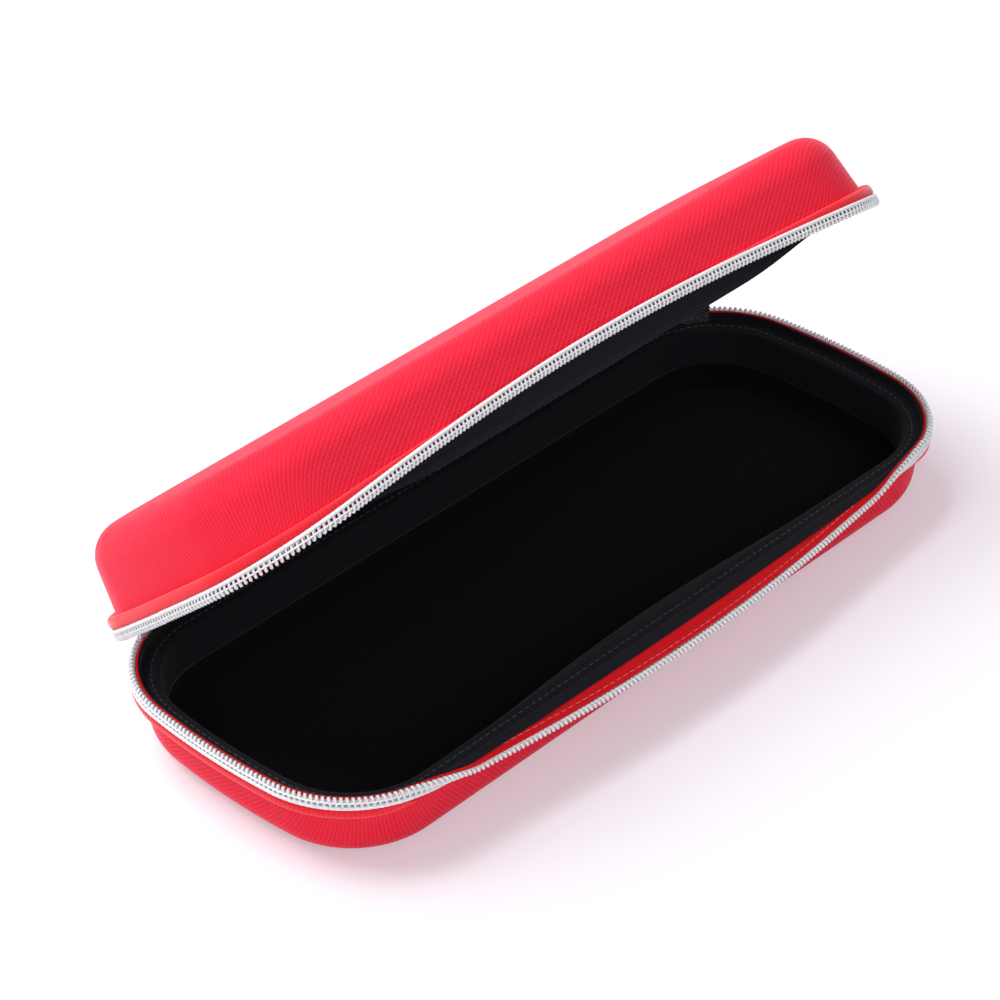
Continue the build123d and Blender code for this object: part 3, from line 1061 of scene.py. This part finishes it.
class MakeHinge(bpy.types.Operator):
    """Make the fabric hinge along the back and its black facing"""

    bl_idname = "case.make_hinge"
    bl_label = "Hinge"

    def sheet(self, name, offset, thickness):
        """A strip from the base's seam over the hinge line to the lid's, bent evenly over a short arc."""
        s = sizes()
        columns, strip_steps, bend = 160, 40, 4.0 * MM
        seam = s.rim_top + s.tape_seam
        w, t = strip_profile(-seam, seam, thickness, strip_steps)
        t = t + offset
        turned = opened * np.clip(w / bend + 0.5, 0, 1)
        radius = bend / opened
        beyond = np.maximum(w - bend / 2, 0)
        before = np.minimum(w + bend / 2, 0)
        y = radius * (cos(opened / 2) - np.cos(turned)) + beyond * sin(opened) + t * np.cos(turned)
        z = radius * (np.sin(turned) - sin(opened / 2)) + beyond * cos(opened) + before - t * np.sin(turned)
        along = np.linspace(-s.hinge_half, s.hinge_half, columns)
        points = np.stack([
            np.repeat(along, len(w)),
            np.tile(hinge_line[1] + y, columns),
            np.tile(hinge_line[2] + z, columns),
        ], -1)
        faces, unwrapped = grid_faces(columns, len(w), False, True)
        around = np.append(w, w[:1])
        uv = np.stack([np.repeat(along, len(around)), np.tile(around, columns)], -1)
        return close_up(make_mesh(name, points, faces, uv[unwrapped.ravel()]))

    def execute(self, context):
        red = self.sheet("hinge_cloth", 0, sizes().tape_thickness)
        finish(red, hinge_cloth(), None, "hinge_fabric", "base_hinge_leaf", "lid_hinge_leaf")
        black = self.sheet("hinge_facing_cloth", -0.55 * MM, 0.5 * MM)
        finish(black, lining_cloth(), None, "facing_fabric", "base_hinge_facing", "lid_hinge_facing")
        for piece in (red, black):
            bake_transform(piece)
        return {"FINISHED"}


class MakeStitches(bpy.types.Operator):
    """Make the rows of stitches on the bindings and on the base's zip tape"""

    bl_idname = "case.make_stitches"
    bl_label = "Stitches"

    def on_binding(self, along, sideways, upward):
        """Offset out and height of points on the binding's crest."""
        inward, crest = 3.0 * MM, 0.25 * MM
        return sideways - inward, upward + crest - sizes().rim_top

    def on_rolled_tape(self, along, sideways, upward):
        """Offset out and height of points on the rolled tape's face, behind its coil."""
        behind_tip = 3.3 * MM
        _, reach = tape_shape("base", along)
        return on_tape("base", along, reach - behind_tip + sideways, -sizes().tape_thickness / 2 - upward)

    def row(self, name, half, distance, on_surface, size):
        """A row of stitches, each a small ellipsoid, long along the rim, placed by on_surface."""
        long_half, wide_half, tall_half = size
        sides, rings, least_fat = 6, 5, 0.02
        ring = np.linspace(0, 2 * pi, sides, endpoint=False)
        stops = np.linspace(-1, 1, rings)[:, None]
        fat = np.sqrt(np.clip(1 - stops**2, least_fat, 1))
        along = distance[:, None, None] + long_half * stops
        points = np.broadcast_arrays(along, wide_half * fat * np.cos(ring), tall_half * fat * np.sin(ring))
        out, height = on_surface(*points)
        faces, _ = grid_faces(rings, sides, False, True)
        first = np.arange(len(distance))[:, None, None] * rings * sides
        points = on_rim(half, points[0], out, height)
        return close_up(make_mesh(name, points.reshape(-1, 3), (faces[None] + first).reshape(-1, 4)))

    def execute(self, context):
        pitch = zip_sizes().stitch_pitch
        black = sewing_thread("black_polyester_thread", colours().dark_thread)
        red = sewing_thread("red_polyester_thread", colours().red_thread)
        distance = np.arange(0, rim_length() - pitch / 2, pitch)
        black_size, red_size = (0.95 * MM, 0.2 * MM, 0.18 * MM), (1.1 * MM, 0.14 * MM, 0.12 * MM)
        least_arch = 0.35
        for half in HALVES:
            stitches = self.row(f"{half}_binding_stitches", half, distance, self.on_binding, black_size)
            finish(stitches, black, half, "binding_fabric")
        distance = np.arange(0, rim_length(), pitch)
        distance = distance[front_arch(distance) > least_arch]
        stitches = self.row("base_tape_stitches", "base", distance, self.on_rolled_tape, red_size)
        finish(stitches, red, "base", "tape_fabric")
        return {"FINISHED"}


class DressFrame(bpy.types.Operator):
    """Give the foam shells, the slider, its pull and the stops their materials"""

    bl_idname = "case.dress_frame"
    bl_label = "Foam and metal"

    def execute(self, context):
        foam = foam_sheet()
        cast = plated_metal("nickel_plated_zinc", 0.24)
        pressed = plated_metal("pressed_aluminium", 0.38)
        wears = {
            "base_shell": foam, "lid_shell": foam, "zip_slider": cast, "zip_pull": cast,
            "base_zip_stops": pressed, "lid_zip_stops": pressed,
        }
        for name, material in wears.items():
            mesh = frame["nodes"][name].data
            mesh.materials.clear()
            mesh.materials.append(material)
        return {"FINISHED"}


class MakeStage(bpy.types.Operator):
    """Make the pale floor, the soft lights and the camera"""

    bl_idname = "case.make_stage"
    bl_label = "Stage"

    def lamp(self, name, place_at, aim, width, power, hue):
        """A square area lamp at a place, facing a point."""
        data = bpy.data.lights.new(name, "AREA")
        data.shape = "SQUARE"
        data.size = width
        data.energy = power
        data.color = linear(hue)[:3]
        lamp = bpy.data.objects.new(name, data)
        lamp.location = place_at
        lamp.rotation_euler = (Vector(aim) - Vector(place_at)).to_track_quat("-Z", "Y").to_euler()
        bpy.context.scene.collection.objects.link(lamp)

    def camera(self):
        """The camera, which looks along forward and has right on its right-hand side."""
        sensor_width, lens = 36.0, 126.12
        place_at = (-0.59816, -0.57143, 0.63536)
        forward = Vector((0.5766, 0.56959, -0.58575)).normalized()
        right = Vector((0.69361, -0.72014, -0.01749)).normalized()
        data = bpy.data.cameras.new("photo_view")
        data.sensor_width = sensor_width
        data.lens = lens
        camera = bpy.data.objects.new("photo_view", data)
        turned = Matrix((right, right.cross(forward), -forward)).transposed()
        camera.matrix_world = Matrix.Translation(place_at) @ turned.to_4x4()
        bpy.context.scene.collection.objects.link(camera)
        return camera

    def execute(self, context):
        scene = context.scene
        floor_width = 12.0
        corners = np.array([(-1, -1, 0), (1, -1, 0), (1, 1, 0), (-1, 1, 0)]) * floor_width / 2
        floor = make_mesh("studio_floor", corners, np.array([[0, 1, 2, 3]]))
        floor.data.materials.append(floor_surface())

        world = bpy.data.worlds.new("studio")
        scene.world = world
        world.use_nodes = True
        tree = world.node_tree
        tree.nodes.clear()
        fill = node(tree, "Background", values={"Color": linear("#F6F4FB"), "Strength": 0.33})
        white = node(tree, "Background", values={"Color": (1, 1, 1, 1), "Strength": 1.0})
        both = node(tree, "MixShader", {0: seen_directly(tree), 1: fill, 2: white})
        node(tree, "OutputWorld", {"Surface": both})

        aim = (0, 0, 0.04)
        self.lamp("key_softbox", (-0.35, 0.75, 1.4), aim, 1.2, 34.0, "#FFFFFF")
        self.lamp("front_softbox", (-0.7, -1.1, 0.8), aim, 0.9, 6.0, "#FFFFFF")

        scene.camera = self.camera()
        scene.view_settings.view_transform = "Standard"
        return {"FINISHED"}


class CasePanel(bpy.types.Panel):
    """The case's sizes, colours and pieces"""

    bl_idname = "VIEW3D_PT_zip_case"
    bl_label = "Zip hard case"
    bl_space_type = "VIEW_3D"
    bl_region_type = "UI"
    bl_category = "Case"

    def draw(self, context):
        for group in (context.scene.case_sizes, context.scene.zip_sizes, context.scene.case_colours):
            for name in group.bl_rna.properties.keys():
                if name not in ("rna_type", "name"):
                    self.layout.prop(group, name)
        for operator in OPERATORS:
            self.layout.operator(operator.bl_idname)


GROUPS = {"case_sizes": CaseSizes, "zip_sizes": ZipSizes, "case_colours": CaseColours}
OPERATORS = (
    MakeStage, MakeCovers, MakeLinings, MakeFlanges, MakeBindings, MakeTapes, MakeCoils, MakeHinge,
    MakeStitches, DressFrame,
)


def register():
    for group in GROUPS.values():
        bpy.utils.register_class(group)
    for name, group in GROUPS.items():
        setattr(bpy.types.Scene, name, PointerProperty(type=group))
    for operator in OPERATORS:
        bpy.utils.register_class(operator)
    bpy.utils.register_class(CasePanel)


def unregister():
    bpy.utils.unregister_class(CasePanel)
    for operator in reversed(OPERATORS):
        bpy.utils.unregister_class(operator)
    for name in GROUPS:
        delattr(bpy.types.Scene, name)
    for group in reversed(list(GROUPS.values())):
        bpy.utils.unregister_class(group)


def main():
    """Builds the stage and every piece."""
    register()
    bpy.ops.case.make_stage()
    bpy.ops.case.make_covers()
    bpy.ops.case.make_linings()
    bpy.ops.case.make_flanges()
    bpy.ops.case.make_bindings()
    bpy.ops.case.make_tapes()
    bpy.ops.case.make_coils()
    bpy.ops.case.make_hinge()
    bpy.ops.case.make_stitches()
    bpy.ops.case.dress_frame()
    bpy.context.view_layer.update()


if __name__ == "__main__":
    main()
